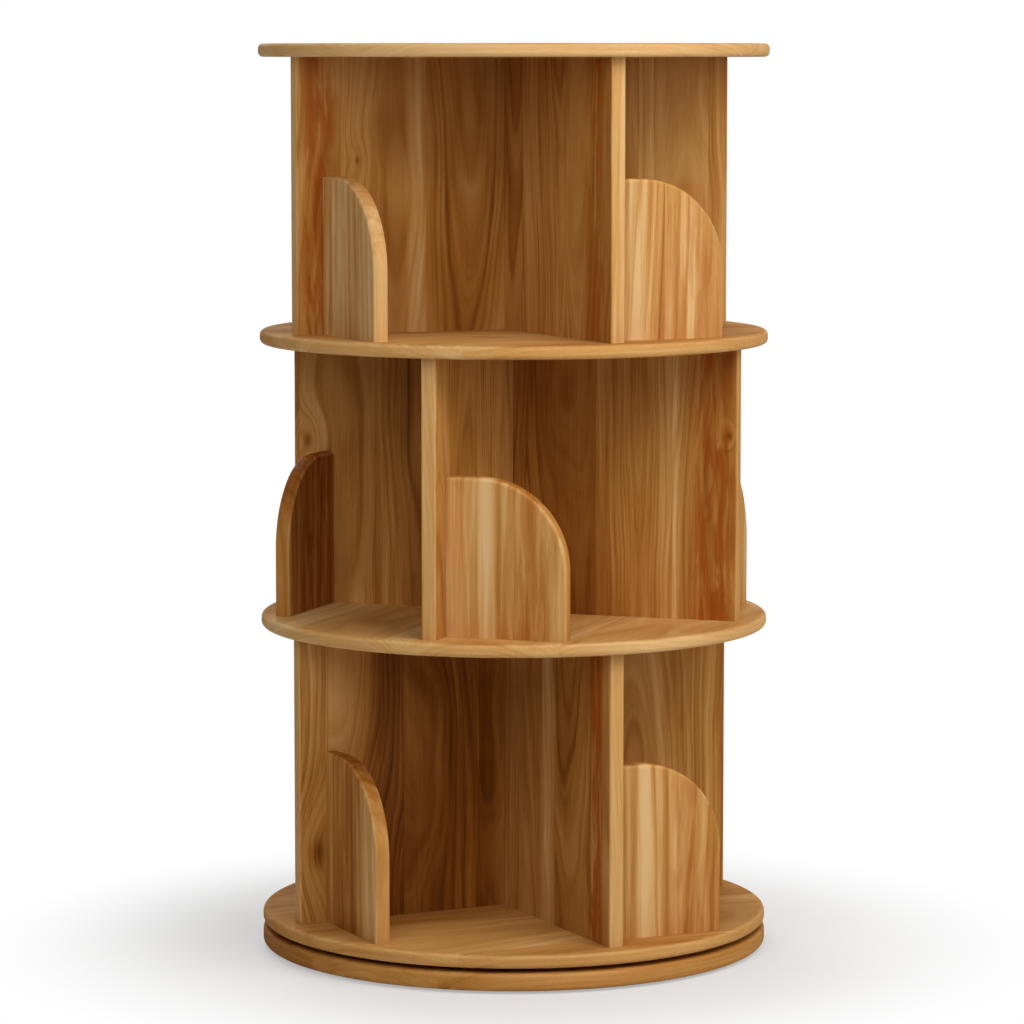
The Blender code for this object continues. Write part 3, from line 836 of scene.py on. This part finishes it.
def disc_tools(node, thickness):
    """Cutters for a disc: sinks for screw heads, or the base's recess and its access hole."""
    tools = []
    for tier, floor, _, _ in TIERS:
        if floor == node:
            sinks = bmesh.new()
            for step in range(PANELS):
                spot = at(step * PANEL_TURN, 0.0) @ over(f"{tier}_panel_screw_1", 0.0)
                join(sinks, moved(hole(SINK_RADIUS, SINK_DEPTH), spot))
            tools.append(sinks)
    if node == "base_disc":
        bed = underside_of("bearing_inner_ring") - underside_of(node) - RECESS_CLEARANCE
        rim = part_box("bearing_outer_ring")[1].x + RECESS_MARGIN
        tools.append(spun([(rim, bed), (rim, thickness + OVERSHOOT)], RECESS_SIDES))
        access = hole(ACCESS_RADIUS, bed + OVERSHOOT)
        tools.append(moved(access, over("outer_ring_screw_1", 0.0)))
    return tools


def disc_mesh(node):
    """A disc, its rim rounded over top and bottom."""
    thickness = top_of(node) - underside_of(node)
    inner = DISC_RADIUS - RIM_ROUND
    rim = arc((inner, RIM_ROUND), RIM_ROUND, -QUARTER, 0.0, RIM_STEPS)
    rim += arc((inner, thickness - RIM_ROUND), RIM_ROUND, 0.0, QUARTER, RIM_STEPS)
    mesh = smooth_mesh(node, spun(rim, DISC_SIDES))
    for tool in disc_tools(node, thickness):
        mesh = cut(mesh, tool)
    return mesh


def panel_mesh(height):
    """A panel in its own frame: X out along it, Y across its thickness, Z up the grain."""
    back, face = PANEL_LOW.y, PANEL_HIGH.y
    inner, round_at = PANEL_LOW.x, PANEL_HIGH.x - PANEL_ROUND
    outline = [(inner, back)]
    outline += arc((round_at, back + PANEL_ROUND), PANEL_ROUND, -QUARTER, 0.0, EDGE_STEPS)
    outline += arc((round_at, face - PANEL_ROUND), PANEL_ROUND, 0.0, QUARTER, EDGE_STEPS)
    outline += [(inner, face)]
    return smooth_mesh("panel", drawn(outline, CONTACT, height - CONTACT))


def stop_mesh(height):
    """A book stop in its panel's frame, its free edges rounded over."""
    near, far = PANEL_HIGH.y + CONTACT, STOP_HIGH.y
    corner = (far - STOP_CORNER, height - STOP_CORNER)
    outline = [(near, CONTACT), (far, CONTACT)]
    outline += arc(corner, STOP_CORNER, 0.0, QUARTER, CORNER_STEPS) + [(near, height)]
    bm = moved(drawn(outline, STOP_LOW.x, STOP_HIGH.x), ON_EDGE)
    free = []
    for edge in bm.edges:
        one, two = (vert.co for vert in edge.verts)
        on_face = abs(one.x - two.x) < SAME_PLACE
        on_floor = max(one.z, two.z) < CONTACT + SAME_PLACE
        on_panel = max(one.y, two.y) < near + SAME_PLACE
        if on_face and not on_floor and not on_panel:
            free.append(edge)
    bmesh.ops.bevel(
        bm, geom=free, affect="EDGES", offset=STOP_ROUND, offset_type="OFFSET",
        segments=EDGE_STEPS, profile=ROUND_PROFILE,
    )
    bmesh.ops.recalc_face_normals(bm, faces=bm.faces)
    return smooth_mesh("book_stop", bm)


def cross_outline(head_radius):
    """The cross in a screw's head, an arm at a time."""
    arm, width = head_radius * CROSS_ARM, head_radius * CROSS_WIDTH
    corners = [(arm, -width), (arm, width), (width, width)]
    outline = []
    for _ in range(CROSS_ARMS):
        outline += corners
        corners = [(-y, x) for x, y in corners]
    return outline


def screw_mesh(length, head_radius, head_height, shank, domed):
    """A threaded screw, its head down and a cross recess in it."""
    if domed:
        head = [(head_radius * math.sin(t), HEAD_DOME * (1 - math.cos(t))) for t in DOME_TURNS]
        head += [(head_radius, head_height), (shank, head_height)]
    else:
        head = [(0.0, 0.0), (head_radius, 0.0), (head_radius, HEAD_LAND), (shank, head_height)]
    thread = []
    height = head_height + THREAD_NECK
    while height < length - POINT_PITCHES * THREAD_PITCH:
        thread += [(shank * THREAD_ROOT, height), (shank, height + THREAD_PITCH / 2)]
        height += THREAD_PITCH
    mesh = smooth_mesh("screw", spun(head + thread + [(0.0, length)], SCREW_SIDES))
    recess = drawn(cross_outline(head_radius), -OVERSHOOT, head_height * CROSS_DEPTH, CROSS_TAPER)
    return cut(mesh, recess)


def ring_section(low, high, outward):
    """A bearing ring's section: eased corners and a ball race in its rim."""
    side = 1.0 if outward else -1.0
    rim = high.x - RING_WIDTH if outward else high.x
    back = high.x if outward else high.x - RING_WIDTH
    inset = side * RING_EASE
    bottom, top = low.z + RING_EASE, high.z - RING_EASE
    race = BALL_RADIUS + RACE_CLEARANCE
    half = math.acos(abs(rim - BALL_PITCH) / race)
    bow = arc((BALL_PITCH, BALL_LEVEL), race, half, -half, RACE_STEPS)
    section = [(back - inset, low.z), (back, bottom), (back, top), (back - inset, high.z)]
    section += [(rim + inset, high.z), (rim, top)]
    section += [(BALL_PITCH + side * (x - BALL_PITCH), z) for x, z in bow]
    section += [(rim, bottom), (rim + inset, low.z)]
    return section


def ring_mesh(node, screw, outward):
    """A bearing ring with its countersunk screw holes, open to the side the heads are on."""
    low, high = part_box(node)
    mesh = smooth_mesh(node, spun(ring_section(low, high, outward), RING_SIDES, ring=True))
    screw_low, screw_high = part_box(screw)
    head = (screw_high.x - screw_low.x) / 2 + HOLE_CLEARANCE
    shank, depth = RING_SCREW["shank"] + HOLE_CLEARANCE, RING_SCREW["head_height"]
    tall = high.z - low.z
    sink = [(head, -OVERSHOOT), (head, 0.0), (shank, depth), (shank, tall + OVERSHOOT)]
    if not outward:
        sink = [(radius, tall - height) for radius, height in reversed(sink)]
    circle = over(screw, 0.0).translation.length
    tools = bmesh.new()
    for step in range(RING_SCREWS):
        spot = at((step + 0.5) * RING_SCREW_TURN, circle, low.z)
        join(tools, moved(spun(sink, SCREW_SIDES), spot))
    return cut(mesh, tools)


def cage_mesh():
    """The ball cage: a thin rolled band with the balls held in it."""
    bottom, top = BALL_LEVEL - CAGE_HEIGHT / 2, BALL_LEVEL + CAGE_HEIGHT / 2
    inner, outer = BALL_PITCH - CAGE_WALL / 2, BALL_PITCH + CAGE_WALL / 2
    section = [(inner, bottom), (inner, top), (outer, top), (outer, bottom)]
    band = smooth_mesh("ball_cage", spun(section, RING_SIDES, ring=True))
    balls = bmesh.new()
    for index in range(BALL_COUNT):
        spot = at(index * FULL_TURN / BALL_COUNT, BALL_PITCH, BALL_LEVEL)
        bmesh.ops.create_uvsphere(
            balls, u_segments=BALL_SIDES, v_segments=BALL_BANDS, radius=BALL_RADIUS, matrix=spot,
        )
    return cut(band, balls, "UNION")


def foot_mesh(node):
    """A moulded rubber pad with a rounded tread and a shallow dished middle."""
    low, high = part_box(node)
    top_radius = (high.y - low.y) / 2
    tread, tall = top_radius - FOOT_DRAFT, high.z - low.z
    dish = tread - FOOT_TREAD
    profile = [(0.0, FOOT_DISH), (dish, FOOT_DISH), (dish + FOOT_DISH, 0.0)]
    profile += arc((tread - FOOT_ROUND, FOOT_ROUND), FOOT_ROUND, -QUARTER, 0.0, FOOT_STEPS)
    profile += [(top_radius, tall), (0.0, tall)]
    return smooth_mesh("foot", spun(profile, FOOT_SIDES))


def add_discs():
    """The five discs."""
    for index, (node, turn) in enumerate(DISCS.items()):
        mesh = disc_mesh(node)
        mark_wood(mesh, node, chance(index, DISC_SALT), turn)
        body = "base" if node == "base_disc" else "carousel"
        add_piece(node, mesh, body, "disc_wood", at(0.0, 0.0, underside_of(node)))


def add_tiers():
    """Panels, book stops and panel screws of the three tiers."""
    for tier_index, (tier, floor, ceiling, tier_turn) in enumerate(TIERS):
        floor_level = top_of(floor)
        clear = underside_of(ceiling) - floor_level
        stop_height = top_of(f"{tier}_book_stop_1") - floor_level
        for step in range(PANELS):
            spot = at(tier_turn + step * PANEL_TURN, 0.0, floor_level)
            boards = (
                ("panel", "panel_wood", panel_mesh(clear), PANEL_SALT),
                ("book_stop", "stop_wood", stop_mesh(stop_height), STOP_SALT),
            )
            for kind, slot, mesh, salt in boards:
                node = f"{tier}_{kind}_{step + 1}"
                mark_wood(mesh, node, chance(tier_index * PANELS + step, salt))
                add_piece(node, mesh, "carousel", slot, spot)
            add_screw(f"{tier}_panel_screw_{step + 1}", "carousel", PANEL_SCREW)


def add_screw(node, body, kind, driven_down=False):
    """A screw in place of its CAD node, head down, or head up where it is driven down."""
    low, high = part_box(node)
    mesh = screw_mesh(high.z - low.z, (high.y - low.y) / 2, **kind)
    spot = over(node, high.z if driven_down else low.z)
    if driven_down:
        spot = spot @ Matrix.Rotation(math.pi, 4, "X")
    add_piece(node, mesh, body, "steel", spot)


def add_bearing():
    """Bearing rings with their screws, the ball cage and the feet."""
    for name, body, outward in (("inner_ring", "base", False), ("outer_ring", "carousel", True)):
        mesh = ring_mesh(f"bearing_{name}", f"{name}_screw_1", outward)
        add_piece(f"bearing_{name}", mesh, body, "bearing_rings", Matrix())
    add_piece("ball_cage", cage_mesh(), "ball_cage", "steel", Matrix())
    for index in range(1, RING_SCREWS + 1):
        add_screw(f"inner_ring_screw_{index}", "base", RING_SCREW, driven_down=True)
        add_screw(f"outer_ring_screw_{index}", "carousel", RING_SCREW)
    for index in range(1, FOOT_COUNT + 1):
        node = f"foot_{index}"
        add_piece(node, foot_mesh(node), "base", "rubber", over(node, underside_of(node)))


# Stage


def in_view(right, back, up):
    """A place named from the photograph's side: to the right, behind and up."""
    turn = Matrix.Rotation(CAMERA_AZIMUTH, 3, "Z")
    return turn @ Vector((right, back, up))


def add_camera():
    """The camera where the photograph was taken from."""
    camera = show("camera", bpy.data.cameras.new("camera"))
    camera.data.lens = CAMERA_LENS
    camera.location = (
        CAMERA_DISTANCE * math.sin(CAMERA_AZIMUTH),
        -CAMERA_DISTANCE * math.cos(CAMERA_AZIMUTH),
        CAMERA_HEIGHT,
    )
    camera.rotation_euler = Euler((QUARTER - CAMERA_PITCH, 0.0, CAMERA_AZIMUTH + CAMERA_YAW))
    bpy.context.scene.camera = camera


def seen_directly(tree):
    """One for rays that show the stage itself: camera, mirror and glass rays."""
    path = tree.nodes.new("ShaderNodeLightPath")
    total = path.outputs["Is Camera Ray"]
    for name in ("Is Glossy Ray", "Is Transmission Ray"):
        either = tree.nodes.new("ShaderNodeMath")
        either.operation = "MAXIMUM"
        tree.links.new(total, either.inputs[0])
        tree.links.new(path.outputs[name], either.inputs[1])
        total = either.outputs[0]
    return total


def add_floor():
    """A pale floor that keeps the shadow near the base and fades to white away from it."""
    bm = bmesh.new()
    bmesh.ops.create_circle(bm, cap_ends=True, segments=FLOOR_SIDES, radius=FLOOR_RADIUS)
    floor = show("floor", plain_mesh("floor", bm))
    floor.location.z = -FLOOR_DROP
    g = Graph("pale_floor")
    g.constants({
        "Base Color": (*FLOOR_COLOUR, 1.0),
        "Roughness": FLOOR_ROUGHNESS,
        "Specular IOR Level": FLOOR_SPECULAR,
    })
    white = g.node("ShaderNodeEmission", {"Color": (*WHITE, 1.0), "Strength": 1.0})
    spot = g.split(g.node("ShaderNodeTexCoord").outputs["Object"])
    fade = g.step(g.length(spot[0], spot[1]), *FLOOR_STEP)
    fade = g.product(fade, seen_directly(g.material.node_tree))
    choose = g.node("ShaderNodeMixShader", {0: fade, 1: g.shader.outputs[0], 2: white.outputs[0]})
    g.put(g.nodes["Material Output"].inputs["Surface"], choose.outputs[0])
    floor.data.materials.append(g.material)


def add_world():
    """Even light from all round, with a white backdrop where it is seen directly."""
    world = bpy.data.worlds.new("studio")
    bpy.context.scene.world = world
    world.use_nodes = True
    tree = world.node_tree
    tree.nodes.clear()
    soft = tree.nodes.new("ShaderNodeBackground")
    soft.inputs["Strength"].default_value = WORLD_STRENGTH
    white = tree.nodes.new("ShaderNodeBackground")
    white.inputs["Color"].default_value = (*WHITE, 1.0)
    choose = tree.nodes.new("ShaderNodeMixShader")
    out = tree.nodes.new("ShaderNodeOutputWorld")
    tree.links.new(seen_directly(tree), choose.inputs[0])
    tree.links.new(soft.outputs[0], choose.inputs[1])
    tree.links.new(white.outputs[0], choose.inputs[2])
    tree.links.new(choose.outputs[0], out.inputs[0])


def add_lamps():
    """Soft square lamps: a high key from the right, one in front, one at the side, one behind."""
    for name, (place, size, watts, colour) in LAMPS.items():
        lamp = bpy.data.lights.new(name, "AREA")
        lamp.size = size
        lamp.energy = watts
        lamp.color = colour
        item = show(name, lamp)
        item.location = in_view(*place)
        aim = Vector(LAMP_AIM) - in_view(*place)
        item.rotation_euler = aim.to_track_quat("-Z", "Y").to_euler()


add_camera()
add_discs()
add_tiers()
add_bearing()
add_floor()
add_world()
add_lamps()

bpy.context.scene.view_settings.view_transform = "Standard"
